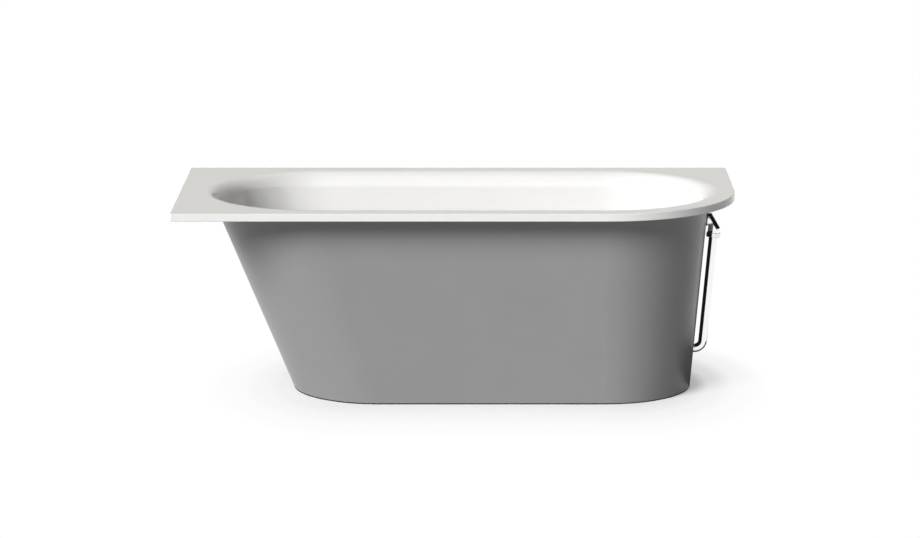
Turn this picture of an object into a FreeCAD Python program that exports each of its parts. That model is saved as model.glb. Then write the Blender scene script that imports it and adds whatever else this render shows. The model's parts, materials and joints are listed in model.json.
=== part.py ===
import FreeCAD, Part
import math
import os

Vec = FreeCAD.Vector
os.makedirs("parts", exist_ok=True)

# Frame: millimetres, origin on the floor under the middle of the rim, +Z up.
# The room walls stand behind the bath (+Y) and at its sloping end (-X).
ALONG = Vec(1, 0, 0)
ACROSS = Vec(0, 1, 0)
UP = Vec(0, 0, 1)

# Rim: a flat deck with square corners at the walls and one round corner.
rim_length = 1700.0
rim_width = 800.0
rim_height = 612.0
rim_thickness = 24.0
rim_border = 52.0
rim_corner_radius = 4.0
rim_edge_radius = 2.0

# Basin moulded in one piece with the rim.
basin_wall_angle = 6.0
backrest_angle = 22.0
basin_floor_radius = 100.0
shell_thickness = 10.0

# Skirt that closes the outside of the bath.
skirt_overhang = 79.0
skirt_overhang_at_wall = 99.0
skirt_draft = 5.0
skirt_backrest_angle = 22.5
skirt_thickness = 6.0
skirt_floor_gap = 2.0
skirt_seal_height = 2.0
skirt_seal_inset = 0.5
skirt_shell_gap = 4.5
skirt_shell_gap_at_wall = 7.0
service_opening_offset = 150.0
service_opening_width = 200.0
service_opening_bar_gap = 6.0
service_opening_radius = 20.0

# Board bonded under the basin and the two channel bars screwed to it.
board_thickness = 16.0
board_foot_margin = 50.0
board_head_margin = 268.0
board_waste_margin = 100.0
board_corner_radius = 30.0
head_bar_margin = 90.0
foot_bar_trap_gap = 130.0
bar_end_gap = 34.0
bar_width = 40.0
bar_height = 20.0
bar_thickness = 2.5
bar_screw_margin = 30.0
bar_screw_near_share = 0.4
bar_screw_radius = 2.5
bar_screw_depth = 12.0
screw_head_radius = 5.0
screw_head_height = 3.0

# Levelling feet.
foot_bar_margin = 35.0
foot_pad_radius = 28.0
foot_pad_neck_radius = 13.0
foot_pad_rim = 6.0
foot_pad_height = 22.0
foot_socket_floor = 8.0
stud_radius = 6.0
stud_above_nut = 4.0
stud_nut_width = 19.0
adjuster_nut_height = 10.0
lock_nut_height = 7.0

# Ties between the bars and the inside of the skirt.
tie_bolt_margin = 11.0
tie_bolt_edge = 10.0
tie_width = 30.0
tie_thickness = 2.5
tie_leg_height = 50.0
bond_thickness = 2.0
bond_margin = 6.0
tie_bolt_radius = 3.0
tie_bolt_end = 3.0
tie_bolt_head_height = 4.0
tie_nut_width = 10.0
tie_nut_height = 5.0

# Brackets that hold the back edge of the rim to the wall.
wall_bracket_spacing = 500.0
wall_bracket_width = 50.0
wall_bracket_thickness = 3.0
wall_bracket_shelf = 48.0
wall_bracket_drop = 62.0
wall_bracket_hole_radius = 3.25
wall_bracket_hole_drop = 38.0
wall_bracket_screw_spacing = 26.0
wall_bracket_screw_inset = 30.0
wall_bracket_screw_radius = 2.0
wall_bracket_screw_depth = 14.0

# Waste in the basin floor, with a plug that clicks up and down.
waste_offset = 50.0
waste_plate_lip = 4.0
waste_plate_thickness = 2.5
waste_seal_thickness = 1.5
waste_recess_clearance = 1.0
waste_throat_radius = 24.0
waste_throat_wall = 3.0
waste_throat_length = 24.0
waste_hole_clearance = 1.0
spider_boss_wall = 3.0
spider_height = 6.0
spider_rib_width = 3.5
spider_rib_count = 3
cartridge_wall = 2.0
cartridge_length = 20.0
plug_overlap = 7.0
plug_thickness = 4.7
plug_edge_radius = 2.5
plug_stem_radius = 5.0
plug_stem_length = 26.0
plug_seal_inset = 2.5
plug_seal_width = 5.0
plug_seal_height = 2.0
waste_body_wall = 4.0
waste_body_flange_lip = 12.0
waste_body_flange_thickness = 4.0
waste_body_seal_thickness = 2.0
waste_body_shoulder = 6.5
waste_branch_headroom = 24.5
waste_spigot_wall = 6.0
waste_spigot_length = 18.0

# Overflow on the rounded end: elbow, collar nut and pipe outside the skirt.
overflow_drop = 90.0
overflow_pipe_radius = 13.5
overflow_pipe_wall = 1.5
overflow_pipe_gap = 13.0
overflow_bend_inside = 12.0
elbow_socket_wall = 5.5
elbow_flange_lip = 3.0
elbow_flange_thickness = 3.0
elbow_seal_thickness = 2.0
elbow_leg = 46.0
elbow_pipe_stop = 24.0
elbow_facet_angle = 35.0
elbow_facet_distance = 2.0
elbow_wall = 3.0
spigot_step = 2.0
spigot_wall = 3.0
overflow_hole_clearance = 1.0
spacer_wall = 9.0
inlet_wall = 5.0
inlet_length = 8.0
inlet_seal_thickness = 3.0
cover_lip = 2.0
cover_thickness = 3.0
cover_gap = 18.0
cover_peg_radius = 2.5
cover_peg_count = 3
collar_wall = 3.0
collar_top = 40.0
collar_seal_height = 3.0
collar_lip = 5.0
grommet_wall = 4.0
tee_branch_wall = 5.0
tee_branch_reach = 65.0
tee_pipe_insertion = 20.0
tee_nut_wall = 4.0
tee_nut_thread = 10.0
tee_nut_lip = 9.0
tee_seal_length = 3.0

# Trap under the waste and the pipe from it towards the wall.
trap_floor_gap = 16.0
trap_step = 3.0
trap_wall = 2.5
trap_flange_thickness = 4.0
trap_seal_thickness = 2.0
trap_neck = 3.0
trap_bend_inside = 5.0
trap_span = 100.0
trap_nut_wall = 6.0
trap_nut_thread = 12.0
trap_nut_lip = 5.0
cleaning_branch_step = 5.0
cleaning_branch_reach = 30.0
cleaning_cap_wall = 4.0
cleaning_cap_grip = 6.0
cleaning_seal_thickness = 2.0
outlet_pipe_radius = 20.0
outlet_pipe_wall = 2.0
outlet_pipe_wall_gap = 10.0
outlet_insertion = 60.0
outlet_mark_width = 2.0
outlet_mark_depth = 0.4
outlet_socket_wall = 4.0
outlet_socket_start = 40.0
outlet_socket_length = 22.0
outlet_socket_stop = 4.0
outlet_seal_length = 3.0
outlet_nut_wall = 5.0
outlet_nut_thread = 12.0
outlet_nut_lip = 8.0

# Fits.
running_clearance = 0.05
seat_clearance = 0.3
seal_clearance = 0.45
bolt_clearance = 0.25

half_length = rim_length / 2
half_width = rim_width / 2
deck_bottom = rim_height - rim_thickness
skirt_top = deck_bottom - skirt_seal_height
round_end_x = half_length - half_width
waste_x = round_end_x + waste_offset

# Radii that follow the waste throat, the overflow pipe and the plug's stem.
plug_radius = waste_throat_radius + plug_overlap
waste_plate_radius = plug_radius + waste_plate_lip
plug_seal_outer = plug_radius - plug_seal_inset
plug_seal_inner = plug_seal_outer - plug_seal_width
cartridge_radius = plug_stem_radius + cartridge_wall
spider_boss_radius = cartridge_radius + spider_boss_wall
waste_body_radius = waste_throat_radius + waste_body_wall
waste_body_flange_radius = waste_body_radius + waste_body_flange_lip
waste_way_radius = waste_throat_radius - waste_spigot_wall
trap_radius = waste_throat_radius - trap_step
trap_bend_radius = trap_radius + trap_bend_inside
cleaning_branch_radius = trap_radius - cleaning_branch_step
overflow_pipe_offset = overflow_pipe_radius + overflow_pipe_gap
overflow_bend_radius = overflow_pipe_radius + overflow_bend_inside
elbow_radius = overflow_pipe_radius + elbow_socket_wall
elbow_flange_radius = elbow_radius + elbow_flange_lip
collar_radius = elbow_radius + collar_wall
spigot_radius = elbow_radius - spigot_step
spacer_radius = spigot_radius + spacer_wall
inlet_radius = spigot_radius + inlet_wall
cover_radius = inlet_radius + cover_lip
cover_peg_circle = (spigot_radius + inlet_radius) / 2
tee_branch_radius = overflow_pipe_radius + tee_branch_wall
tee_nut_radius = tee_branch_radius + tee_nut_wall

# Heights, stacked from the trap on the floor up to the basin.
trap_low_z = trap_floor_gap + trap_radius
trap_flange_bottom = trap_low_z + trap_bend_radius + trap_neck
trap_flange_top = trap_flange_bottom + trap_flange_thickness
waste_spigot_bottom = trap_flange_top + trap_seal_thickness
body_bottom = waste_spigot_bottom + waste_spigot_length
overflow_entry_height = body_bottom + waste_body_shoulder + tee_branch_radius
body_top = overflow_entry_height + tee_branch_radius + waste_branch_headroom
shell_bottom = body_top + waste_body_seal_thickness
basin_floor = shell_bottom + shell_thickness
bar_top = shell_bottom - board_thickness
bar_bottom = bar_top - bar_height
web_bottom = bar_top - bar_thickness
service_opening_height = bar_top - service_opening_bar_gap


def slope(angle):
    return math.tan(math.radians(angle))


def along_wall(thickness, angle):
    return thickness / math.cos(math.radians(angle))


def skirt_plan(z, inset=0):
    drop = deck_bottom - z
    radius = half_width - skirt_overhang - drop * slope(skirt_draft) - along_wall(inset, skirt_draft)
    end = -half_length + skirt_overhang_at_wall + drop * slope(skirt_backrest_angle)
    end += along_wall(inset, skirt_backrest_angle)
    return end + radius, radius


def skirt_inner_plan(z):
    return skirt_plan(z, skirt_thickness)


def basin_plan(z, thickness=0):
    drop = deck_bottom - z
    skirt_left, skirt_radius = skirt_inner_plan(deck_bottom)
    radius = skirt_radius - skirt_shell_gap - drop * slope(basin_wall_angle)
    radius -= along_wall(shell_thickness - thickness, basin_wall_angle)
    end = skirt_left - skirt_radius + skirt_shell_gap_at_wall + drop * slope(backrest_angle)
    end += along_wall(shell_thickness - thickness, backrest_angle)
    return end + radius, radius


def shell_plan(z):
    return basin_plan(z, shell_thickness)


lip_radius = (half_width - rim_border - basin_plan(rim_height)[1]) / slope((90 - basin_wall_angle) / 2)


def stadium_wire(plan, z):
    left_x, radius = plan
    corner = radius * math.sqrt(0.5)
    left_front = Vec(left_x, -radius, z)
    left_end = Vec(left_x - radius, 0, z)
    left_back = Vec(left_x, radius, z)
    right_back = Vec(round_end_x, radius, z)
    right_end = Vec(round_end_x + radius, 0, z)
    right_front = Vec(round_end_x, -radius, z)
    return Part.Wire([
        Part.LineSegment(left_front, right_front).toShape(),
        Part.Arc(right_front, Vec(round_end_x + corner, -corner, z), right_end).toShape(),
        Part.Arc(right_end, Vec(round_end_x + corner, corner, z), right_back).toShape(),
        Part.LineSegment(right_back, left_back).toShape(),
        Part.Arc(left_back, Vec(left_x - corner, corner, z), left_end).toShape(),
        Part.Arc(left_end, Vec(left_x - corner, -corner, z), left_front).toShape(),
    ])


def tapered_solid(plan, low, high):
    return Part.makeLoft([stadium_wire(plan(low), low), stadium_wire(plan(high), high)], True, True)


def level_edges(shape, z):
    found = []
    for edge in shape.Edges:
        box = edge.BoundBox
        if abs(box.ZMin - z) < running_clearance and abs(box.ZMax - z) < running_clearance:
            found.append(edge)
    return found


def upright_edges(shape):
    return [edge for edge in shape.Edges if edge.BoundBox.XLength + edge.BoundBox.YLength < running_clearance]


def rod(start, direction, radius, length):
    return Part.makeCylinder(radius, length, start, direction)


def ring(start, direction, inner, outer, length):
    return rod(start, direction, outer, length).cut(rod(start, direction, inner, length))


def block(x_low, x_high, y_low, y_high, z_low, z_high):
    return Part.makeBox(x_high - x_low, y_high - y_low, z_high - z_low, Vec(x_low, y_low, z_low))


def hex_nut(centre, width, bore, height):
    corner = width / math.sqrt(3)
    points = []
    for step in range(7):
        turn = math.radians(60 * step)
        points.append(centre + Vec(corner * math.cos(turn), corner * math.sin(turn), 0))
    body = Part.Face(Part.makePolygon(points)).extrude(UP * height)
    return body.cut(rod(centre, UP, bore, height))


def slab(points, direction):
    return Part.Face(Part.makePolygon(points + points[:1])).extrude(direction)


def bent_path(points, bend_radius):
    edges = []
    last = points[0]
    for before, corner, after in zip(points, points[1:], points[2:]):
        back = (before - corner).normalize()
        ahead = (after - corner).normalize()
        half_angle = back.getAngle(ahead) / 2
        reach = bend_radius / math.tan(half_angle)
        middle = (back + ahead).normalize()
        depth = bend_radius / math.sin(half_angle) - bend_radius
        start = corner + back * reach
        finish = corner + ahead * reach
        if (start - last).Length > running_clearance:
            edges.append(Part.LineSegment(last, start).toShape())
        edges.append(Part.Arc(start, corner + middle * depth, finish).toShape())
        last = finish
    edges.append(Part.LineSegment(last, points[-1]).toShape())
    return Part.Wire(edges)


def bent_rod(points, bend_radius, radius):
    circle = Part.Circle(points[0], points[1] - points[0], radius)
    profile = Part.Face(Part.Wire(circle.toShape()))
    return bent_path(points, bend_radius).makePipe(profile)


def cut_clear(shape, wall, distance):
    return shape.cut(wall).cut(wall.translated(ALONG * distance))


def save(node, shape):
    shape.exportStep("parts/" + node + ".step")


# Overflow pieces are drawn about the hole: X out of the skirt, Z up along it.
overflow_z = rim_height - overflow_drop
overflow_face_x = round_end_x + skirt_plan(overflow_z)[1]
overflow_wall_depth = overflow_face_x - round_end_x - basin_plan(overflow_z)[1]
overflow_placement = FreeCAD.Placement(
    Vec(overflow_face_x, 0, overflow_z), FreeCAD.Rotation(ACROSS, skirt_draft))


def at_overflow(shape):
    placed = shape.copy()
    placed.Placement = overflow_placement
    return placed


overflow_hole_radius = spigot_radius + overflow_hole_clearance
spigot_end = -(overflow_wall_depth + inlet_seal_thickness + inlet_length)
overflow_hole = at_overflow(
    rod(ALONG * spigot_end, ALONG, overflow_hole_radius, elbow_flange_radius - spigot_end))


def bracket_columns():
    return [-wall_bracket_spacing, 0, wall_bracket_spacing]


def bracket_screw_points():
    points = []
    for x in bracket_columns():
        for side in (-1, 1):
            points.append(Vec(x + side * wall_bracket_screw_spacing / 2,
                              half_width - wall_bracket_screw_inset, deck_bottom))
    return points


def make_deck():
    corner = half_width * math.sqrt(0.5)
    outline = Part.Wire([
        Part.LineSegment(Vec(-half_length, -half_width, deck_bottom),
                         Vec(round_end_x, -half_width, deck_bottom)).toShape(),
        Part.Arc(Vec(round_end_x, -half_width, deck_bottom),
                 Vec(round_end_x + corner, -corner, deck_bottom),
                 Vec(half_length, 0, deck_bottom)).toShape(),
        Part.LineSegment(Vec(half_length, 0, deck_bottom),
                         Vec(half_length, half_width, deck_bottom)).toShape(),
        Part.LineSegment(Vec(half_length, half_width, deck_bottom),
                         Vec(-half_length, half_width, deck_bottom)).toShape(),
        Part.LineSegment(Vec(-half_length, half_width, deck_bottom),
                         Vec(-half_length, -half_width, deck_bottom)).toShape(),
    ])
    deck = Part.Face(outline).extrude(UP * rim_thickness)
    corners = [edge for edge in upright_edges(deck)
               if abs(abs(edge.BoundBox.YMin) - half_width) < running_clearance
               and abs(edge.BoundBox.XMin - round_end_x) > running_clearance]
    deck = deck.makeFillet(rim_corner_radius, corners)
    return deck.makeFillet(rim_edge_radius, level_edges(deck, rim_height) + level_edges(deck,
                                                                                        deck_bottom))


def make_bath_shell():
    under = tapered_solid(shell_plan, shell_bottom, deck_bottom + rim_thickness / 2)
    under = under.makeFillet(basin_floor_radius + shell_thickness, level_edges(under, shell_bottom))
    hollow = tapered_solid(basin_plan, basin_floor, rim_height)
    hollow = hollow.makeFillet(basin_floor_radius, level_edges(hollow, basin_floor))
    shell = make_deck().fuse(under).cut(hollow)
    opening_edges = [edge for edge in level_edges(shell, rim_height)
                     if max(-edge.BoundBox.YMin, edge.BoundBox.YMax) < half_width - rim_border
                     and edge.BoundBox.XMin > -half_length + rim_border]
    shell = shell.makeFillet(lip_radius, opening_edges)
    waste_floor = Vec(waste_x, 0, shell_bottom)
    shell = shell.cut(rod(waste_floor, UP, waste_throat_radius + waste_hole_clearance, shell_thickness))
    recess_depth = waste_plate_thickness + waste_seal_thickness
    shell = shell.cut(rod(Vec(waste_x, 0, basin_floor - recess_depth), UP,
                          waste_plate_radius + waste_recess_clearance, recess_depth))
    shell = shell.cut(overflow_hole)
    for point in bracket_screw_points():
        shell = shell.cut(rod(point, UP, wall_bracket_screw_radius, wall_bracket_screw_depth))
    return shell


def make_skirt_wall():
    outside = tapered_solid(skirt_plan, skirt_floor_gap, skirt_top)
    inside = tapered_solid(skirt_inner_plan, skirt_floor_gap, skirt_top)
    return outside.cut(inside)


grommet_hole_radius = overflow_pipe_radius + grommet_wall
entry_face_x = round_end_x + skirt_plan(overflow_entry_height)[1]
entry_start = Vec(entry_face_x - grommet_hole_radius, 0, overflow_entry_height)


def make_skirt(wall):
    skirt = wall.cut(overflow_hole)
    skirt = skirt.cut(rod(entry_start, ALONG, grommet_hole_radius, 2 * grommet_hole_radius))
    opening_x = waste_x - service_opening_offset
    opening = block(opening_x - service_opening_width / 2, opening_x + service_opening_width / 2,
                    0, half_width, 0, service_opening_height)
    top_edges = [edge for edge in level_edges(opening, service_opening_height)
                 if edge.BoundBox.XLength < running_clearance]
    opening = opening.makeFillet(service_opening_radius, top_edges)
    return skirt.cut(opening)


def skirt_seal_plan(z):
    return skirt_plan(skirt_top, skirt_seal_inset)


def skirt_seal_inner_plan(z):
    return skirt_plan(skirt_top, skirt_thickness - skirt_seal_inset)


def make_skirt_seal():
    outside = tapered_solid(skirt_seal_plan, skirt_top, deck_bottom)
    return outside.cut(tapered_solid(skirt_seal_inner_plan, skirt_top, deck_bottom))


bar_end_y = skirt_inner_plan(bar_bottom)[1] - bar_end_gap
foot_y = bar_end_y - foot_bar_margin
tie_bolt_y = bar_end_y - tie_bolt_margin
tie_start_y = tie_bolt_y - tie_bolt_edge
board_half_width = foot_y - board_foot_margin
bar_screw_far_y = board_half_width - bar_screw_margin
bar_screw_near_y = bar_screw_far_y * bar_screw_near_share
board_start_x = basin_plan(basin_floor)[0] - basin_plan(basin_floor)[1] + board_head_margin
board_end_x = waste_x - board_waste_margin
outlet_x = waste_x - trap_span
bar_columns = {"head": board_start_x + head_bar_margin, "foot": outlet_x - foot_bar_trap_gap}
foot_sides = {"front": -1, "back": 1}


def bar_screw_points():
    points = []
    for x in bar_columns.values():
        for y in (bar_screw_near_y, bar_screw_far_y):
            points.append(Vec(x, -y, web_bottom))
            points.append(Vec(x, y, web_bottom))
    return points


def make_board():
    board = block(board_start_x, board_end_x, -board_half_width, board_half_width, bar_top, shell_bottom)
    board = board.makeFillet(board_corner_radius, upright_edges(board))
    for point in bar_screw_points():
        board = board.cut(rod(point, UP, bar_screw_radius, bar_thickness + bar_screw_depth))
    return board


def make_bar(x):
    bar = block(x - bar_width / 2, x + bar_width / 2, -bar_end_y, bar_end_y, bar_bottom, bar_top)
    bar = bar.cut(block(x - bar_width / 2 + bar_thickness, x + bar_width / 2 - bar_thickness,
                        -bar_end_y, bar_end_y, bar_bottom, web_bottom))
    for side in foot_sides.values():
        bar = bar.cut(rod(Vec(x, side * foot_y, web_bottom), UP, stud_radius + seat_clearance,
                          bar_thickness))
        bar = bar.cut(rod(Vec(x, side * tie_bolt_y, web_bottom), UP,
                          tie_bolt_radius + bolt_clearance, bar_thickness))
    for point in bar_screw_points():
        bar = bar.cut(rod(point, UP, bar_screw_radius, bar_thickness))
    return bar


def make_screw(seat, direction, radius, length):
    head = rod(seat - direction * screw_head_height, direction, screw_head_radius, screw_head_height)
    return head.fuse(rod(seat, direction, radius, length)).removeSplitter()


def make_bar_screws():
    length = bar_thickness + bar_screw_depth
    return Part.makeCompound([make_screw(point, UP, bar_screw_radius,
                                         length) for point in bar_screw_points()])


stud_top = bar_top + lock_nut_height + stud_above_nut


def make_foot_pad(x, y):
    base = rod(Vec(x, y, 0), UP, foot_pad_radius, foot_pad_rim)
    neck = Part.makeCone(foot_pad_radius, foot_pad_neck_radius, foot_pad_height - foot_pad_rim,
                         Vec(x, y, foot_pad_rim), UP)
    pad = base.fuse(neck).removeSplitter()
    return pad.cut(rod(Vec(x, y, foot_socket_floor), UP, stud_radius, foot_pad_height))


def make_stud(x, y):
    return rod(Vec(x, y, foot_socket_floor), UP, stud_radius, stud_top - foot_socket_floor)


def make_adjuster_nut(x, y):
    seat = Vec(x, y, web_bottom - seat_clearance - adjuster_nut_height)
    return hex_nut(seat, stud_nut_width, stud_radius + running_clearance, adjuster_nut_height)


def make_lock_nut(x, y):
    return hex_nut(Vec(x, y, bar_top), stud_nut_width, stud_radius + running_clearance, lock_nut_height)


def tie_face_y(z):
    return skirt_inner_plan(z)[1] - along_wall(bond_thickness, skirt_draft)


def make_tie(x, side):
    leg_top = bar_top + tie_leg_height
    shelf_top = bar_top + tie_thickness
    profile = [
        (tie_start_y, bar_top),
        (tie_face_y(bar_top), bar_top),
        (tie_face_y(leg_top), leg_top),
        (tie_face_y(leg_top) - tie_thickness, leg_top),
        (tie_face_y(shelf_top) - tie_thickness, shelf_top),
        (tie_start_y, shelf_top),
    ]
    points = [Vec(x - tie_width / 2, side * y, z) for y, z in profile]
    tie = slab(points, ALONG * tie_width)
    return tie.cut(rod(Vec(x, side * tie_bolt_y, bar_top), UP, tie_bolt_radius + bolt_clearance,
                       tie_thickness))


def make_bond_pad(x, side):
    low = bar_top + bond_margin
    high = bar_top + tie_leg_height - bond_margin
    profile = [
        (tie_face_y(low), low),
        (skirt_inner_plan(low)[1], low),
        (skirt_inner_plan(high)[1], high),
        (tie_face_y(high), high),
    ]
    points = [Vec(x - tie_width / 2, side * y, z) for y, z in profile]
    return slab(points, ALONG * tie_width)


def make_tie_bolt(x, y):
    seat = Vec(x, y, bar_top + tie_thickness)
    shank_length = tie_thickness + bar_thickness + tie_nut_height + tie_bolt_end
    head = rod(seat, UP, screw_head_radius, tie_bolt_head_height)
    return head.fuse(rod(seat, -UP, tie_bolt_radius, shank_length)).removeSplitter()


def make_tie_nut(x, y):
    return hex_nut(Vec(x, y, web_bottom - tie_nut_height), tie_nut_width, tie_bolt_radius, tie_nut_height)


def make_wall_bracket(x):
    left = x - wall_bracket_width / 2
    right = x + wall_bracket_width / 2
    shelf = block(left, right, half_width - wall_bracket_shelf, half_width,
                  deck_bottom - wall_bracket_thickness, deck_bottom)
    plate = block(left, right, half_width - wall_bracket_thickness, half_width,
                  deck_bottom - wall_bracket_drop, deck_bottom)
    bracket = shelf.fuse(plate).removeSplitter()
    bracket = bracket.cut(rod(Vec(x, half_width - wall_bracket_thickness,
                                  deck_bottom - wall_bracket_hole_drop),
                              ACROSS, wall_bracket_hole_radius, wall_bracket_thickness))
    for point in bracket_screw_points():
        bracket = bracket.cut(rod(point, -UP, wall_bracket_screw_radius, wall_bracket_thickness))
    return bracket


def make_wall_bracket_screws():
    drop = UP * wall_bracket_thickness
    length = wall_bracket_thickness + wall_bracket_screw_depth
    return Part.makeCompound([make_screw(point - drop, UP, wall_bracket_screw_radius, length)
                              for point in bracket_screw_points()])


def waste_point(z):
    return Vec(waste_x, 0, z)


plate_bottom = basin_floor - waste_plate_thickness
throat_bottom = basin_floor - waste_throat_length
throat_bore = waste_throat_radius - waste_throat_wall


def make_waste_flange():
    plate = rod(waste_point(plate_bottom), UP, waste_plate_radius, waste_plate_thickness)
    throat = rod(waste_point(throat_bottom), UP, waste_throat_radius, plate_bottom - throat_bottom)
    flange = plate.fuse(throat).removeSplitter()
    flange = flange.cut(rod(waste_point(throat_bottom), UP, throat_bore, waste_throat_length))
    spider = rod(waste_point(throat_bottom), UP, spider_boss_radius, spider_height)
    for step in range(spider_rib_count):
        rib = block(0, throat_bore + waste_throat_wall / 2, -spider_rib_width / 2, spider_rib_width / 2,
                    0, spider_height)
        rib.rotate(Vec(0, 0, 0), UP, step * 360 / spider_rib_count)
        rib.translate(waste_point(throat_bottom))
        spider = spider.fuse(rib)
    flange = flange.fuse(spider).removeSplitter()
    return flange.cut(rod(waste_point(throat_bottom), UP, cartridge_radius, spider_height))


def make_waste_flange_seal():
    return ring(waste_point(plate_bottom - waste_seal_thickness), UP,
                waste_throat_radius, waste_plate_radius, waste_seal_thickness)


def make_cartridge():
    return ring(waste_point(throat_bottom), UP, plug_stem_radius + running_clearance,
                cartridge_radius, cartridge_length)


plug_seal_bottom = basin_floor + seat_clearance
plug_bottom = plug_seal_bottom + plug_seal_height


def make_plug():
    cap = rod(waste_point(plug_bottom), UP, plug_radius, plug_thickness)
    cap = cap.makeFillet(plug_edge_radius, level_edges(cap, plug_bottom + plug_thickness))
    return cap.fuse(rod(waste_point(plug_bottom - plug_stem_length), UP, plug_stem_radius,
                        plug_stem_length))


def make_plug_seal():
    return ring(waste_point(plug_seal_bottom), UP, plug_seal_inner, plug_seal_outer, plug_seal_height)


branch_end = waste_x + tee_branch_reach
pipe_end_x = branch_end - tee_pipe_insertion


def make_waste_body():
    body = rod(waste_point(body_bottom), UP, waste_body_radius, body_top - body_bottom)
    flange_bottom = body_top - waste_body_flange_thickness
    body = body.fuse(rod(waste_point(flange_bottom), UP, waste_body_flange_radius,
                         waste_body_flange_thickness))
    body = body.fuse(rod(waste_point(waste_spigot_bottom), UP, waste_throat_radius, waste_spigot_length))
    branch_start = Vec(waste_x, 0, overflow_entry_height)
    body = body.fuse(rod(branch_start, ALONG, tee_branch_radius, tee_branch_reach)).removeSplitter()
    body = body.cut(rod(waste_point(waste_spigot_bottom), UP, waste_way_radius,
                        body_top - waste_spigot_bottom))
    body = body.cut(rod(waste_point(throat_bottom), UP, waste_throat_radius, body_top - throat_bottom))
    body = body.cut(rod(branch_start, ALONG, overflow_pipe_radius - overflow_pipe_wall, tee_branch_reach))
    return body.cut(rod(Vec(pipe_end_x, 0, overflow_entry_height), ALONG, overflow_pipe_radius,
                        tee_pipe_insertion))


def make_waste_body_seal():
    return ring(waste_point(body_top), UP, waste_throat_radius, waste_body_flange_radius,
                waste_body_seal_thickness)


def make_tee_seal():
    return ring(Vec(branch_end, 0, overflow_entry_height), ALONG,
                overflow_pipe_radius, tee_branch_radius, tee_seal_length)


def make_tee_nut():
    start = Vec(branch_end - tee_nut_thread, 0, overflow_entry_height)
    lip_start = Vec(branch_end + tee_seal_length, 0, overflow_entry_height)
    thread_length = tee_nut_thread + tee_seal_length
    nut = ring(start, ALONG, tee_branch_radius, tee_nut_radius, thread_length)
    return nut.fuse(ring(lip_start, ALONG, overflow_pipe_radius, tee_nut_radius,
                         tee_nut_lip)).removeSplitter()


pipe_axis = ALONG * overflow_pipe_offset


def overflow_pipe_points():
    top = overflow_placement.multVec(pipe_axis - UP * elbow_pipe_stop)
    down = overflow_placement.Rotation.multVec(-UP)
    drop = (top.z - overflow_entry_height) / -down.z
    corner = top + down * drop
    return [top, corner, Vec(pipe_end_x, 0, overflow_entry_height)]


def make_overflow_pipe():
    outside = bent_rod(overflow_pipe_points(), overflow_bend_radius, overflow_pipe_radius)
    inside = bent_rod(overflow_pipe_points(), overflow_bend_radius,
                      overflow_pipe_radius - overflow_pipe_wall)
    return outside.cut(inside)


def make_grommet(wall):
    sleeve = ring(entry_start, ALONG, overflow_pipe_radius, grommet_hole_radius, 2 * grommet_hole_radius)
    return wall.common(sleeve)


def facet_block(distance):
    size = 2 * elbow_leg
    cutter = block(distance, distance + size, -size, size, -size, size)
    cutter.rotate(Vec(0, 0, 0), ACROSS, -elbow_facet_angle)
    cutter.translate(pipe_axis)
    return cutter


def mitred_runs(stub_start, stub_radius, sleeve_radius, sleeve_length, facet_distance):
    reach = overflow_pipe_offset + elbow_radius
    stub = rod(ALONG * stub_start, ALONG, stub_radius, reach - stub_start)
    sleeve = rod(pipe_axis + UP * elbow_radius, -UP, sleeve_radius, elbow_radius + sleeve_length)
    size = 2 * (reach - stub_start)
    lower_side = block(-size, size, -size, size, -size, 0)
    lower_side.rotate(Vec(0, 0, 0), ACROSS, -45)
    lower_side.translate(pipe_axis)
    runs = stub.cut(lower_side).fuse(sleeve.common(lower_side))
    return runs.cut(facet_block(facet_distance))


def make_elbow():
    body = mitred_runs(elbow_seal_thickness, elbow_radius, elbow_radius, elbow_leg, elbow_facet_distance)
    flange = rod(ALONG * elbow_seal_thickness, ALONG, elbow_flange_radius, elbow_flange_thickness)
    spigot = rod(ALONG * spigot_end, ALONG, spigot_radius, elbow_seal_thickness - spigot_end)
    body = body.fuse(flange).fuse(spigot).removeSplitter()
    spigot_way = spigot_radius - spigot_wall
    pipe_way = overflow_pipe_radius - overflow_pipe_wall
    inner_facet = elbow_facet_distance - elbow_wall
    body = body.cut(mitred_runs(spigot_end, spigot_way, pipe_way, elbow_leg, inner_facet))
    socket_top = pipe_axis - UP * elbow_pipe_stop
    return at_overflow(body.cut(rod(socket_top, -UP, overflow_pipe_radius, elbow_leg)))


def make_elbow_seal(skirt):
    seal = rod(-ALONG * elbow_seal_thickness, ALONG, elbow_flange_radius, 2 * elbow_seal_thickness)
    return cut_clear(at_overflow(seal).cut(overflow_hole), skirt, seal_clearance)


def make_spacer(skirt, shell):
    start = -(overflow_wall_depth - shell_thickness / 2)
    spacer = rod(ALONG * start, ALONG, spacer_radius, -start - skirt_thickness / 2)
    spacer = at_overflow(spacer).cut(overflow_hole)
    return cut_clear(cut_clear(spacer, skirt, -seal_clearance), shell, seal_clearance)


def make_inlet_seal(shell):
    start = -(overflow_wall_depth + inlet_seal_thickness)
    seal = rod(ALONG * start, ALONG, inlet_radius, 2 * inlet_seal_thickness)
    return cut_clear(at_overflow(seal).cut(overflow_hole), shell, -seal_clearance)


def make_inlet():
    return at_overflow(ring(ALONG * spigot_end, ALONG, spigot_radius, inlet_radius, inlet_length))


def make_cover():
    cover = rod(ALONG * (spigot_end - cover_gap), -ALONG, cover_radius, cover_thickness)
    for step in range(cover_peg_count):
        turn = math.radians(step * 360 / cover_peg_count)
        foot = Vec(spigot_end, cover_peg_circle * math.sin(turn), cover_peg_circle * math.cos(turn))
        cover = cover.fuse(rod(foot, -ALONG, cover_peg_radius, cover_gap))
    return at_overflow(cover.removeSplitter())


def make_collar_seal():
    return at_overflow(ring(pipe_axis - UP * elbow_leg, -UP, overflow_pipe_radius, elbow_radius,
                            collar_seal_height))


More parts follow.
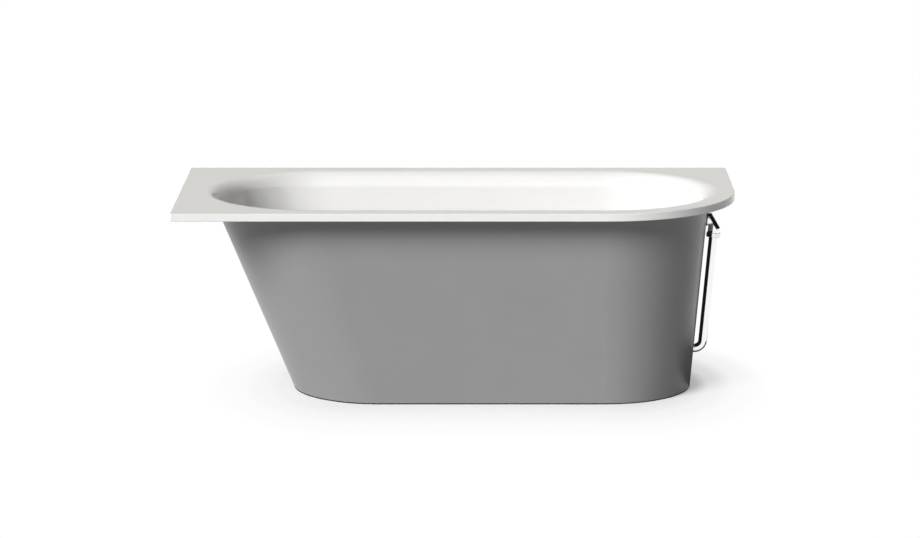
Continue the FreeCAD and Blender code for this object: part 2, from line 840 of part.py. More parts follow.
def make_collar_nut():
    seat = elbow_leg + collar_seal_height
    nut = ring(pipe_axis - UP * collar_top, -UP, elbow_radius, collar_radius, seat - collar_top)
    lip = ring(pipe_axis - UP * seat, -UP, overflow_pipe_radius, collar_radius, collar_lip)
    return at_overflow(nut.fuse(lip).removeSplitter())


outlet_z = trap_low_z + 2 * trap_bend_radius
trap_bore = trap_radius - trap_wall
outlet_socket_end = outlet_socket_start + outlet_socket_length
outlet_socket_radius = outlet_pipe_radius + outlet_socket_wall
cleaning_x = waste_x - trap_span / 2


def make_trap():
    points = [
        waste_point(trap_flange_top),
        waste_point(trap_low_z),
        Vec(outlet_x, 0, trap_low_z),
        Vec(outlet_x, 0, outlet_z),
        Vec(outlet_x, outlet_socket_start + outlet_socket_stop, outlet_z),
    ]
    branch_start = Vec(cleaning_x, 0, trap_low_z)
    socket_start = Vec(outlet_x, outlet_socket_start, outlet_z)
    trap = bent_rod(points, trap_bend_radius, trap_radius)
    trap = trap.fuse(rod(waste_point(trap_flange_bottom), UP, waste_throat_radius, trap_flange_thickness))
    trap = trap.fuse(rod(branch_start, -ACROSS, cleaning_branch_radius, cleaning_branch_reach))
    trap = trap.fuse(rod(socket_start, ACROSS, outlet_socket_radius,
                         outlet_socket_length)).removeSplitter()
    trap = trap.cut(bent_rod(points, trap_bend_radius, trap_bore))
    trap = trap.cut(rod(branch_start, -ACROSS, cleaning_branch_radius - trap_wall, cleaning_branch_reach))
    pipe_start = Vec(outlet_x, outlet_socket_start + outlet_socket_stop, outlet_z)
    return trap.cut(rod(pipe_start, ACROSS, outlet_pipe_radius, outlet_socket_length))


def make_trap_seal():
    return ring(waste_point(trap_flange_top), UP, waste_way_radius, waste_throat_radius,
                trap_seal_thickness)


def make_trap_nut():
    outer = waste_throat_radius + trap_nut_wall
    nut_top = waste_spigot_bottom + trap_nut_thread
    nut = ring(waste_point(trap_flange_bottom), UP, waste_throat_radius, outer,
               nut_top - trap_flange_bottom)
    lip = ring(waste_point(trap_flange_bottom - trap_nut_lip), UP, trap_radius + bolt_clearance, outer,
               trap_nut_lip)
    return nut.fuse(lip).removeSplitter()


def make_cleaning_seal():
    return ring(Vec(cleaning_x, -cleaning_branch_reach, trap_low_z), -ACROSS,
                cleaning_branch_radius - trap_wall, cleaning_branch_radius, cleaning_seal_thickness)


def make_cleaning_cap():
    seat = cleaning_branch_reach + cleaning_seal_thickness
    start = Vec(cleaning_x, -cleaning_branch_reach + cleaning_cap_grip, trap_low_z)
    outer = cleaning_branch_radius + cleaning_cap_wall
    cap = rod(start, -ACROSS, outer, cleaning_cap_grip + cleaning_seal_thickness + cleaning_cap_wall)
    return cap.cut(rod(start, -ACROSS, cleaning_branch_radius,
                       seat - cleaning_branch_reach + cleaning_cap_grip))


def outlet_point(y):
    return Vec(outlet_x, y, outlet_z)


def make_outlet_pipe():
    start = outlet_socket_start + outlet_socket_stop
    end = half_width - outlet_pipe_wall_gap
    pipe = ring(outlet_point(start), ACROSS, outlet_pipe_radius - outlet_pipe_wall, outlet_pipe_radius,
                end - start)
    return pipe.cut(ring(outlet_point(end - outlet_insertion), -ACROSS,
                         outlet_pipe_radius - outlet_mark_depth,
                         outlet_pipe_radius, outlet_mark_width))


def make_outlet_seal():
    return ring(outlet_point(outlet_socket_end), ACROSS, outlet_pipe_radius, outlet_socket_radius,
                outlet_seal_length)


def make_outlet_nut():
    outer = outlet_socket_radius + outlet_nut_wall
    lip_start = outlet_socket_end + outlet_seal_length
    nut = ring(outlet_point(outlet_socket_end - outlet_nut_thread), ACROSS, outlet_socket_radius, outer,
               outlet_nut_thread + outlet_seal_length)
    return nut.fuse(ring(outlet_point(lip_start), ACROSS, outlet_pipe_radius, outer,
                         outlet_nut_lip)).removeSplitter()


def save_shells():
    shell = make_bath_shell()
    wall = make_skirt_wall()
    skirt = make_skirt(wall)
    save("bath_shell", shell)
    save("outer_skirt", skirt)
    save("skirt_top_seal", make_skirt_seal())
    save("pipe_grommet", make_grommet(wall))
    save("elbow_seal", make_elbow_seal(skirt))
    save("overflow_spacer", make_spacer(skirt, shell))
    save("inlet_seal", make_inlet_seal(shell))


def save_support():
    save("base_board", make_board())
    save("bar_screws", make_bar_screws())
    lock_nuts = []
    bond_pads = []
    tie_bolts = []
    tie_nuts = []
    for bar_name, x in bar_columns.items():
        save(bar_name + "_bar", make_bar(x))
        for side_name, side in foot_sides.items():
            place = bar_name + "_" + side_name
            save("foot_pad_" + place, make_foot_pad(x, side * foot_y))
            save("foot_stud_" + place, make_stud(x, side * foot_y))
            save("adjuster_nut_" + place, make_adjuster_nut(x, side * foot_y))
            save("skirt_tie_" + place, make_tie(x, side))
            lock_nuts.append(make_lock_nut(x, side * foot_y))
            bond_pads.append(make_bond_pad(x, side))
            tie_bolts.append(make_tie_bolt(x, side * tie_bolt_y))
            tie_nuts.append(make_tie_nut(x, side * tie_bolt_y))
    save("lock_nuts", Part.makeCompound(lock_nuts))
    save("bond_pads", Part.makeCompound(bond_pads))
    save("tie_bolts", Part.makeCompound(tie_bolts))
    save("tie_nuts", Part.makeCompound(tie_nuts))
    for name, x in zip(("left", "middle", "right"), bracket_columns()):
        save("wall_bracket_" + name, make_wall_bracket(x))
    save("wall_bracket_screws", make_wall_bracket_screws())


def save_waste():
    save("waste_flange", make_waste_flange())
    save("waste_flange_seal", make_waste_flange_seal())
    save("plug_cartridge", make_cartridge())
    save("waste_plug", make_plug())
    save("plug_seal", make_plug_seal())
    save("waste_body", make_waste_body())
    save("waste_body_seal", make_waste_body_seal())
    save("trap_body", make_trap())
    save("trap_seal", make_trap_seal())
    save("trap_nut", make_trap_nut())
    save("cleaning_cap", make_cleaning_cap())
    save("cleaning_cap_seal", make_cleaning_seal())
    save("outlet_pipe", make_outlet_pipe())
    save("outlet_seal", make_outlet_seal())
    save("outlet_nut", make_outlet_nut())


def save_overflow():
    save("overflow_elbow", make_elbow())
    save("overflow_inlet", make_inlet())
    save("overflow_cover", make_cover())
    save("collar_seal", make_collar_seal())
    save("collar_nut", make_collar_nut())
    save("overflow_pipe", make_overflow_pipe())
    save("tee_nut", make_tee_nut())
    save("tee_seal", make_tee_seal())


save_shells()
save_support()
save_waste()
save_overflow()
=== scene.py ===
import json
import math
import bpy
import bmesh
from mathutils import Matrix, Vector


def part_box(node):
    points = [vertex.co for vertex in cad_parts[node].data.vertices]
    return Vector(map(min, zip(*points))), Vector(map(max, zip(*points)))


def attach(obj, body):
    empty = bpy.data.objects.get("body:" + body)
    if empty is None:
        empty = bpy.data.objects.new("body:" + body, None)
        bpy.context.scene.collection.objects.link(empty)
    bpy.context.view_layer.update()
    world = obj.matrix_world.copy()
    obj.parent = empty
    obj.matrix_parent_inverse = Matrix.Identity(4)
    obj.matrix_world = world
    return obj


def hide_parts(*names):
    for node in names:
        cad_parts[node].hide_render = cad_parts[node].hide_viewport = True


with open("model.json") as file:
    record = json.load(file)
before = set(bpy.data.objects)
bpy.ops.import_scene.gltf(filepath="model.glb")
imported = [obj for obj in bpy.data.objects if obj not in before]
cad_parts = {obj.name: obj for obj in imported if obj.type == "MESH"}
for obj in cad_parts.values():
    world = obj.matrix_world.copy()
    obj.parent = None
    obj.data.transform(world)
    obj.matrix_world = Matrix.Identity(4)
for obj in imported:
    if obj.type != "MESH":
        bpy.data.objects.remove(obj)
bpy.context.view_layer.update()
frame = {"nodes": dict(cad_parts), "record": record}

nodes = frame["nodes"]
scene = bpy.context.scene
scene.view_settings.view_transform = "Standard"
print("frame loaded:", len(nodes), "nodes")


# camera: long lens, slightly above the rim, no tilt sideways
cameraSet = {"place": (0.07235, -10.5498, 2.5104), "pitch": 78.5, "lens": 136.49, "shiftX": -0.0231,
             "sensor": 36, "farClip": 200}


def addCamera(s):
    data = bpy.data.cameras.new("photoCamera")
    data.sensor_width = s["sensor"]
    data.lens = s["lens"]
    data.shift_x = s["shiftX"]
    data.clip_end = s["farClip"]
    cam = bpy.data.objects.new("photoCamera", data)
    cam.location = s["place"]
    cam.rotation_euler = (math.radians(s["pitch"]), 0, 0)
    scene.collection.objects.link(cam)
    scene.camera = cam


addCamera(cameraSet)
print("camera set")


def meshObject(name, bm):
    mesh = bpy.data.meshes.new(name)
    bm.to_mesh(mesh)
    bm.free()
    obj = bpy.data.objects.new(name, mesh)
    scene.collection.objects.link(obj)
    return obj


# node helpers
def bareMaterial(name):
    mat = bpy.data.materials.new(name)
    mat.use_nodes = True
    tree = mat.node_tree
    tree.nodes.clear()
    return mat, tree, tree.nodes.new("ShaderNodeOutputMaterial")


def newMaterial(name):
    mat, tree, out = bareMaterial(name)
    bsdf = tree.nodes.new("ShaderNodeBsdfPrincipled")
    tree.links.new(bsdf.outputs["BSDF"], out.inputs["Surface"])
    return mat, tree, bsdf


def addNode(tree, kind, **values):
    node = tree.nodes.new(kind)
    for key, value in values.items():
        setattr(node, key, value)
    return node


grainSet = {"cloudDetail": 4, "cloudRough": 0.6, "grainDetail": 2, "low": 0.25, "high": 0.75}


def makeSurfaceGroup(s):
    # cloudy tone and fine grain from object coordinates
    group = bpy.data.node_groups.new("surfaceGrain", "ShaderNodeTree")
    face = group.interface
    for name in ("Cloud Scale", "Grain Scale"):
        face.new_socket(name=name, in_out="INPUT", socket_type="NodeSocketFloat")
    face.new_socket(name="Vector", in_out="INPUT", socket_type="NodeSocketVector")
    for name in ("Tone", "Grain"):
        face.new_socket(name=name, in_out="OUTPUT", socket_type="NodeSocketFloat")
    inp = group.nodes.new("NodeGroupInput")
    out = group.nodes.new("NodeGroupOutput")
    cloud = addNode(group, "ShaderNodeTexNoise")
    cloud.inputs["Detail"].default_value = s["cloudDetail"]
    cloud.inputs["Roughness"].default_value = s["cloudRough"]
    grain = addNode(group, "ShaderNodeTexNoise")
    grain.inputs["Detail"].default_value = s["grainDetail"]
    spread = addNode(group, "ShaderNodeMapRange")
    spread.inputs["From Min"].default_value = s["low"]
    spread.inputs["From Max"].default_value = s["high"]
    link = group.links.new
    link(inp.outputs["Vector"], cloud.inputs["Vector"])
    link(inp.outputs["Vector"], grain.inputs["Vector"])
    link(inp.outputs["Cloud Scale"], cloud.inputs["Scale"])
    link(inp.outputs["Grain Scale"], grain.inputs["Scale"])
    link(cloud.outputs["Fac"], spread.inputs["Value"])
    link(spread.outputs["Result"], out.inputs["Tone"])
    link(grain.outputs["Fac"], out.inputs["Grain"])
    return group


surfaceGrain = makeSurfaceGroup(grainSet)


def paintFootShadow(tree, coord, color, s):
    # painted shadow: a dark line along the lower edge, standing in for the shade of the gap over the floor
    split = addNode(tree, "ShaderNodeSeparateXYZ")
    rise = addNode(tree, "ShaderNodeMapRange")
    rise.inputs["From Min"].default_value = s["from"]
    rise.inputs["From Max"].default_value = s["to"]
    mix = addNode(tree, "ShaderNodeMix", data_type="RGBA")
    mix.inputs["A"].default_value = (*s["color"], 1)
    tree.links.new(coord.outputs["Object"], split.inputs["Vector"])
    tree.links.new(split.outputs["Z"], rise.inputs["Value"])
    tree.links.new(rise.outputs["Result"], mix.inputs["Factor"])
    tree.links.new(color, mix.inputs["B"])
    return mix.outputs["Result"]


plainSockets = {"Metallic": "metal", "Specular IOR Level": "specular", "Coat Weight": "coat",
                "Coat Roughness": "coatRough"}


def plainFinish(name, s):
    # moulded, painted or plated surface: two near tones, roughness and bump from the grain group
    mat, tree, bsdf = newMaterial(name)
    link = tree.links.new
    coord = addNode(tree, "ShaderNodeTexCoord")
    tone = addNode(tree, "ShaderNodeGroup", node_tree=surfaceGrain)
    tone.inputs["Cloud Scale"].default_value = s["cloud"]
    tone.inputs["Grain Scale"].default_value = s["grain"]
    link(coord.outputs["Object"], tone.inputs["Vector"])
    mix = addNode(tree, "ShaderNodeMix", data_type="RGBA")
    mix.inputs["A"].default_value = (*s["colorA"], 1)
    mix.inputs["B"].default_value = (*s["colorB"], 1)
    link(tone.outputs["Tone"], mix.inputs["Factor"])
    color = mix.outputs["Result"]
    # painted shadow along the foot, for finishes that ask for it
    if "paintedFootShadow" in s:
        color = paintFootShadow(tree, coord, color, s["paintedFootShadow"])
    link(color, bsdf.inputs["Base Color"])
    rough = addNode(tree, "ShaderNodeMapRange")
    rough.inputs["To Min"].default_value = s["rough"][0]
    rough.inputs["To Max"].default_value = s["rough"][1]
    link(tone.outputs["Tone"], rough.inputs["Value"])
    link(rough.outputs["Result"], bsdf.inputs["Roughness"])
    bump = addNode(tree, "ShaderNodeBump")
    bump.inputs["Strength"].default_value = s["bump"]
    bump.inputs["Distance"].default_value = s["bumpDepth"]
    link(tone.outputs["Grain"], bump.inputs["Height"])
    link(bump.outputs["Normal"], bsdf.inputs["Normal"])
    for socket, key in plainSockets.items():
        if key in s:
            bsdf.inputs[socket].default_value = s[key]
    return mat


finishes = {
    "white_gelcoat": {"colorA": (0.82, 0.814, 0.804), "colorB": (0.84, 0.834, 0.825), "cloud": 3,
                      "grain": 160, "rough": (0.10, 0.16), "bump": 0.02, "bumpDepth": 0.0005,
                      "coat": 0.3, "coatRough": 0.05},
    "grey_skirt": {"colorA": (0.270, 0.270, 0.270), "colorB": (0.285, 0.285, 0.285), "cloud": 5,
                   "grain": 900, "rough": (0.29, 0.35), "bump": 0.06, "bumpDepth": 0.0004, "specular": 0.35,
                   # painted shadow: a dark line at the skirt's foot, for the shade in the gap over the floor
                   "paintedFootShadow": {"from": 0.0029, "to": 0.0041, "color": (0.02, 0.02, 0.019)}},
    "chrome": {"colorA": (0.90, 0.905, 0.91), "colorB": (0.93, 0.933, 0.936), "cloud": 20,
               "grain": 300, "rough": (0.03, 0.07), "bump": 0.01, "bumpDepth": 0.0002, "metal": 1},
    "seal_rubber": {"colorA": (0.018, 0.018, 0.018), "colorB": (0.035, 0.035, 0.034), "cloud": 40,
                    "grain": 1500, "rough": (0.65, 0.85), "bump": 0.2, "bumpDepth": 0.0004},
    "bond_adhesive": {"colorA": (0.62, 0.6, 0.55), "colorB": (0.72, 0.70, 0.66), "cloud": 60,
                      "grain": 300, "rough": (0.5, 0.7), "bump": 0.5, "bumpDepth": 0.001},
    "brass": {"colorA": (0.55, 0.38, 0.14), "colorB": (0.68, 0.50, 0.22), "cloud": 60,
              "grain": 900, "rough": (0.2, 0.35), "bump": 0.1, "bumpDepth": 0.0002, "metal": 1},
    "black_plastic": {"colorA": (0.015, 0.015, 0.016), "colorB": (0.03, 0.03, 0.031), "cloud": 30,
                      "grain": 1200, "rough": (0.45, 0.6), "bump": 0.2, "bumpDepth": 0.0004},
    "white_pipe_plastic": {"colorA": (0.72, 0.72, 0.70), "colorB": (0.78, 0.78, 0.765), "cloud": 12,
                           "grain": 900, "rough": (0.32, 0.42), "bump": 0.05, "bumpDepth": 0.0003},
    "zinc_steel": {"colorA": (0.46, 0.47, 0.49), "colorB": (0.66, 0.67, 0.68), "cloud": 45,
                   "grain": 700, "rough": (0.28, 0.45), "bump": 0.06, "bumpDepth": 0.0002, "metal": 1},
}

finishOf = {name: plainFinish(name, s) for name, s in finishes.items()}


boardSet = {"flakeScale": 90, "dark": (0.28, 0.18, 0.09), "light": (0.56, 0.42, 0.25), "rough": (0.7, 0.9),
            "stretch": (1, 2.2, 3), "bump": 0.4, "bumpDepth": 0.0008}


def boardFinish(s):
    # pressed chips: cells of different tones with a fine rough bump
    mat, tree, bsdf = newMaterial("bonded_board")
    link = tree.links.new
    coord = addNode(tree, "ShaderNodeTexCoord")
    mapping = addNode(tree, "ShaderNodeMapping")
    mapping.inputs["Scale"].default_value = s["stretch"]
    chips = addNode(tree, "ShaderNodeTexVoronoi")
    chips.inputs["Scale"].default_value = s["flakeScale"]
    mix = addNode(tree, "ShaderNodeMix", data_type="RGBA")
    mix.inputs["A"].default_value = (*s["dark"], 1)
    mix.inputs["B"].default_value = (*s["light"], 1)
    split = addNode(tree, "ShaderNodeSeparateColor")
    bump = addNode(tree, "ShaderNodeBump")
    bump.inputs["Strength"].default_value = s["bump"]
    bump.inputs["Distance"].default_value = s["bumpDepth"]
    link(coord.outputs["Object"], mapping.inputs["Vector"])
    link(mapping.outputs["Vector"], chips.inputs["Vector"])
    link(chips.outputs["Color"], split.inputs["Color"])
    link(split.outputs["Red"], mix.inputs["Factor"])
    link(mix.outputs["Result"], bsdf.inputs["Base Color"])
    link(chips.outputs["Distance"], bump.inputs["Height"])
    link(bump.outputs["Normal"], bsdf.inputs["Normal"])
    rough = addNode(tree, "ShaderNodeMapRange")
    rough.inputs["To Min"].default_value = s["rough"][0]
    rough.inputs["To Max"].default_value = s["rough"][1]
    link(split.outputs["Green"], rough.inputs["Value"])
    link(rough.outputs["Result"], bsdf.inputs["Roughness"])
    return mat


finishOf["bonded_board"] = boardFinish(boardSet)


slotOf = {part["node"]: part["material_slot"] for part in frame["record"]["subparts"]}


def paintNodes():
    for name, obj in nodes.items():
        obj.data.materials.clear()
        obj.data.materials.append(finishOf[slotOf[name]])


paintNodes()
print("finishes set:", len(finishOf))


# detailed pieces are made in millimetres and brought to metres when they are finished;
# points nearer than touch lie in one place, and points nearer than weld are joined
perMetre = 1000
millimetre = 0.001
touch = 0.001
weld = 0.01
smoothLimit = 30
bodyOf = {node: body for body, names in frame["record"]["behaviour"]["bodies"].items() for node in names}


def boxOf(node):
    low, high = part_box(node)
    return low * perMetre, high * perMetre


def solidBoxes(node):
    # corners of each separate solid in a node that holds several
    bm = bmesh.new()
    bm.from_mesh(nodes[node].data)
    bmesh.ops.scale(bm, vec=(perMetre, perMetre, perMetre), verts=bm.verts)
    bmesh.ops.remove_doubles(bm, verts=bm.verts, dist=touch)
    boxes = []
    left = set(bm.verts)
    while left:
        group = {left.pop()}
        front = list(group)
        while front:
            near = [e.other_vert(v) for v in front for e in v.link_edges]
            front = [v for v in set(near) if v not in group]
            group.update(front)
        left -= group
        low = Vector([min(v.co[i] for v in group) for i in range(3)])
        high = Vector([max(v.co[i] for v in group) for i in range(3)])
        boxes.append((low, high))
    bm.free()
    return sorted(boxes, key=lambda box: tuple(round(c, 1) for c in box[0]))


def finishPiece(name, bm, node, smoothTo=smoothLimit):
    bmesh.ops.recalc_face_normals(bm, faces=bm.faces)
    bmesh.ops.scale(bm, vec=(millimetre, millimetre, millimetre), verts=bm.verts)
    obj = meshObject(name, bm)
    obj.data.shade_smooth()
    obj.data.set_sharp_from_angle(angle=math.radians(smoothTo))
    obj.data.materials.append(finishOf[slotOf[node]])
    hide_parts(node)
    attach(obj, bodyOf[node])


def placeShape(bm, place, axis=(0, 0, 1)):
    # from upright at the origin to its place and direction
    turn = Vector((0, 0, 1)).rotation_difference(Vector(axis)).to_matrix()
    bmesh.ops.rotate(bm, cent=(0, 0, 0), matrix=turn, verts=bm.verts)
    bmesh.ops.translate(bm, vec=place, verts=bm.verts)


def addCopy(bm, shape, place):
    # a copy of a small shape inside a piece that holds several
    mesh = bpy.data.meshes.new("copy")
    shape.to_mesh(mesh)
    mesh.transform(Matrix.Translation(place))
    bm.from_mesh(mesh)
    bpy.data.meshes.remove(mesh)


# rings: each gives its radius and height at an angle; an outline lists pairs of inset and rise
ringSet = {"ribFlank": 2.2, "leastSine": 0.001}


def roundRing(radius, height):
    return lambda angle: (radius, height)


def ribbedRing(radius, height, depth, count):
    def ringAt(angle):
        wave = max(-1, min(1, ringSet["ribFlank"] * math.cos(count * angle)))
        return radius - depth * (0.5 - 0.5 * wave), height
    return ringAt


def roundRings(radius, height, outline):
    return [roundRing(radius - inset, height + rise) for inset, rise in outline]


def ribbedRings(radius, height, outline, ribs):
    return [ribbedRing(radius - inset, height + rise, *ribs) for inset, rise in outline]


def hexRing(width, height, slope):
    def ringAt(angle):
        reach = width / 2 / math.cos(angle % (math.pi / 3) - math.pi / 6)
        return reach, height + slope * (reach - width / 2)
    return ringAt


def crossRing(arm, half, height):
    def ringAt(angle):
        turn = abs((angle + math.pi / 4) % (math.pi / 2) - math.pi / 4)
        return min(arm / math.cos(turn), half / max(math.sin(turn), ringSet["leastSine"])), height
    return ringAt


def sortMesh(bm):
    # operators give edges and faces in a new order each run, so they are put in the order of their points
    bm.verts.index_update()
    count = len(bm.verts)

    def orderOf(item):
        points = sorted(v.index for v in item.verts)
        return ((len(points) * count + points[0]) * count + points[1]) * count + points[-1]

    bm.edges.sort(key=orderOf)
    bm.faces.sort(key=orderOf)


def loftRings(rings, segments, ends):
    # a skin through the rings; its ends are joined to each other, get lids, or stay open
    bm = bmesh.new()
    bmesh.ops.create_circle(bm, segments=segments, radius=1)
    verts = list(bm.verts)
    edges = list(bm.edges)
    first = edges
    for count, ring in enumerate(rings):
        if count:
            made = bmesh.ops.extrude_edge_only(bm, edges=edges)["geom"]
            verts = [v for v in made if isinstance(v, bmesh.types.BMVert)]
            edges = [e for e in made if isinstance(e, bmesh.types.BMEdge) and e.is_boundary]
        for v in verts:
            angle = math.atan2(v.co.y, v.co.x)
            radius, height = ring(angle)
            v.co = (radius * math.cos(angle), radius * math.sin(angle), height)
    if ends == "joined":
        bmesh.ops.bridge_loops(bm, edges=first + edges)
    if ends == "lids":
        bmesh.ops.edgeloop_fill(bm, edges=first)
        bmesh.ops.edgeloop_fill(bm, edges=edges)
    sortMesh(bm)
    bmesh.ops.recalc_face_normals(bm, faces=bm.faces)
    return bm


# levelling feet: threaded studs, ribbed pads, hexagon nuts
footSet = {
    "thread": 5.97, "root": 5.1, "pitch": 1.75, "steps": 16, "crest": (0.4, 0.6), "spareTurns": 2,
    "neck": 13, "rim": 6, "socket": 6.2, "socketFloor": 8, "padRibs": 16, "ribDepth": 1.1, "ribSteps": 8,
    "sole": ((9, 1.2), (7, 1.2), (6, 0), (1.2, 0), (0.3, 0.5), (0, 1.4)),
    "shoulder": ((0, -1.4), (0.4, -0.4), (1.4, 0.2)), "ribFoot": ((2.6, 1.4),), "ribTop": ((-2.6, -4.2),),
    "neckTop": ((0, -2.2), (0, -0.8), (0.8, 0)),
    "nutBore": 6.05, "tieBore": 3.0, "nutSides": 48, "leadIn": 0.7, "nutFace": 0.4, "nutCorner": 0.23,
    "nutSlope": 0.58,
}


def threadedRod(s, low, high):
    # one turn of thread is spun upwards, then the ends are cut square
    bm = bmesh.new()
    pitch, root, thread, spare = s["pitch"], s["root"], s["thread"], s["spareTurns"]
    crest = [(thread, share * pitch) for share in s["crest"]]
    profile = [(root, 0), *crest, (root, pitch)]
    verts = [bm.verts.new((radius, 0, low - spare * pitch + height)) for radius, height in profile]
    edges = [bm.edges.new(pair) for pair in zip(verts, verts[1:])]
    turns = math.ceil((high - low) / pitch) + spare + 1
    bmesh.ops.spin(bm, geom=verts + edges, cent=(0, 0, 0), axis=(0, 0, 1), dvec=(0, 0, pitch / s["steps"]),
                   angle=turns * 2 * math.pi, steps=turns * s["steps"])
    bmesh.ops.remove_doubles(bm, verts=bm.verts, dist=weld)
    for height, side in ((low, -1), (high, 1)):
        bmesh.ops.bisect_plane(bm, geom=bm.verts[:] + bm.edges[:] + bm.faces[:], dist=touch,
                               plane_co=(0, 0, height), plane_no=(0, 0, side), clear_outer=True)
        rim = [e for e in bm.edges if e.is_boundary and all(abs(v.co.z - height) < weld for v in e.verts)]
        bmesh.ops.edgeloop_fill(bm, edges=rim)
    return bm


def footPad(s, low, high):
    radius = (high.x - low.x) / 2
    height = high.z - low.z
    rim, neck = s["rim"], s["neck"]
    ribs = (s["ribDepth"], s["padRibs"])
    rings = roundRings(radius, 0, s["sole"]) + roundRings(radius, rim, s["shoulder"])
    rings += ribbedRings(radius, rim, s["ribFoot"], ribs) + ribbedRings(neck, height, s["ribTop"], ribs)
    rings += roundRings(neck, height, s["neckTop"])
    rings += [roundRing(s["socket"], height), roundRing(s["socket"], s["socketFloor"])]
    return loftRings(rings, s["ribSteps"] * s["padRibs"], "lids")


def hexNut(s, width, height, bore):
    lead, face, corner = s["leadIn"], width / 2 - s["nutFace"], s["nutCorner"]
    rings = [
        roundRing(bore, lead), roundRing(bore + lead, 0), roundRing(face, 0),
        hexRing(width, corner, s["nutSlope"]), hexRing(width, height - corner, -s["nutSlope"]),
        roundRing(face, height), roundRing(bore + lead, height), roundRing(bore, height - lead),
    ]
    return loftRings(rings, s["nutSides"], "joined")


def middleOf(low, high):
    return (low + high) / 2


def makeFeet(s):
    for bar in ("head", "foot"):
        for side in ("front", "back"):
            place = bar + "_" + side
            low, high = boxOf("foot_stud_" + place)
            middle = middleOf(low, high)
            stud = threadedRod(s, low.z, high.z)
            placeShape(stud, (middle.x, middle.y, 0))
            finishPiece("threadedStud_" + place, stud, "foot_stud_" + place)
            low, high = boxOf("foot_pad_" + place)
            pad = footPad(s, low, high)
            placeShape(pad, (middle.x, middle.y, low.z))
            finishPiece("ribbedPad_" + place, pad, "foot_pad_" + place)
            low, high = boxOf("adjuster_nut_" + place)
            nut = hexNut(s, high.y - low.y, high.z - low.z, s["nutBore"])
            placeShape(nut, (middle.x, middle.y, low.z))
            finishPiece("hexNut_" + place, nut, "adjuster_nut_" + place)


def makeNutGroup(name, node, s, bore):
    piece = bmesh.new()
    for low, high in solidBoxes(node):
        middle = middleOf(low, high)
        nut = hexNut(s, high.y - low.y, high.z - low.z, bore)
        addCopy(piece, nut, (middle.x, middle.y, low.z))
        nut.free()
    finishPiece(name, piece, node)


makeFeet(footSet)
makeNutGroup("lockNuts", "lock_nuts", footSet, footSet["nutBore"])
makeNutGroup("tieNuts", "tie_nuts", footSet, footSet["tieBore"])
print("feet and nuts made")


# screws with a rounded head and a cross recess, and the tie bolts
screwSet = {
    "head": 5.0, "dome": ((0.62, 0.06), (0.82, 0.5), (0.95, 1.2), (1, 2.0)),
    "arm": 2.7, "half": 0.75, "recess": 1.7, "recessFloor": (0.55, 0.7), "recessTop": 0.03,
    "pitch": 1.6, "cut": 0.35, "threadFrom": 0.6, "tip": 0.4, "sides": 48,
}
screwGroups = {
    "barScrews": {"node": "bar_screws", "shank": 2.5, "headHeight": 3.0, "headUp": False},
    "bracketScrews": {"node": "wall_bracket_screws", "shank": 2.0, "headHeight": 3.0, "headUp": False},
    "tieBolts": {"node": "tie_bolts", "shank": 3.0, "headHeight": 4.0, "headUp": True},
}


def crossHeadScrew(s, shank, length, headHeight):
    # head at the bottom, tip at the top; the dome's outline is in shares of the head's radius
    head, pitch, root = s["head"], s["pitch"], shank - s["cut"]
    armShare, halfShare = s["recessFloor"]
    rings = [crossRing(s["arm"] * armShare, s["half"] * halfShare, s["recess"]),
             crossRing(s["arm"], s["half"], s["recessTop"])]
    rings += [roundRing(head * share, rise) for share, rise in s["dome"]]
    rings += [roundRing(head, headHeight), roundRing(shank, headHeight)]
    height = headHeight + s["threadFrom"]
    while height < length - 2 * pitch:
        rings += [roundRing(root, height), roundRing(shank, height + 0.5 * pitch)]
        height += pitch
    rings += [roundRing(root, length - pitch), roundRing(s["tip"] * shank, length)]
    return loftRings(rings, s["sides"], "lids")


def makeScrewGroup(name, group, s):
    piece = bmesh.new()
    upsideDown = Matrix.Rotation(math.pi, 3, "X")
    for low, high in solidBoxes(group["node"]):
        middle = middleOf(low, high)
        screw = crossHeadScrew(s, group["shank"], high.z - low.z, group["headHeight"])
        if group["headUp"]:
            bmesh.ops.rotate(screw, cent=(0, 0, 0), matrix=upsideDown, verts=screw.verts)
        addCopy(piece, screw, (middle.x, middle.y, high.z if group["headUp"] else low.z))
        screw.free()
    finishPiece(name, piece, group["node"])


for groupName, groupValues in screwGroups.items():
    makeScrewGroup(groupName, groupValues, screwSet)
print("screws made")


# hand-tight plastic nuts of the waste: grip ribs outside, a lip that holds the pipe
unionSet = {
    "trap_nut": {"axis": (0, 0, -1), "bore": 24.0, "lipBore": 21.25, "lip": 5.0, "ribs": 26},
    "tee_nut": {"axis": (1, 0, 0), "bore": 18.5, "lipBore": 13.6, "lip": 9.0, "ribs": 22},
    "outlet_nut": {"axis": (0, 1, 0), "bore": 24.0, "lipBore": 20.1, "lip": 8.0, "ribs": 26},
    "cleaning_cap": {"axis": (0, -1, 0), "bore": 16.0, "lipBore": 0, "lip": 4.0, "ribs": 20},
}


gripSet = {
    "ribDepth": 1.3, "ribSteps": 8, "plainShare": 0.3, "foot": ((1.6, 0), (1.0, 0.6)),
    "ribFoot": ((0.2, 1.2), (0, 2.0)), "ribTop": ((0, -0.8), (0.3, 0)), "shoulder": ((1.5, 0.5),),
    "front": ((2.2, -1.6), (2.8, -0.5), (3.8, 0)), "lipEdge": 0.6,
    "capRim": 0.62, "capFloor": 0.55, "capSunk": 1.2,
}


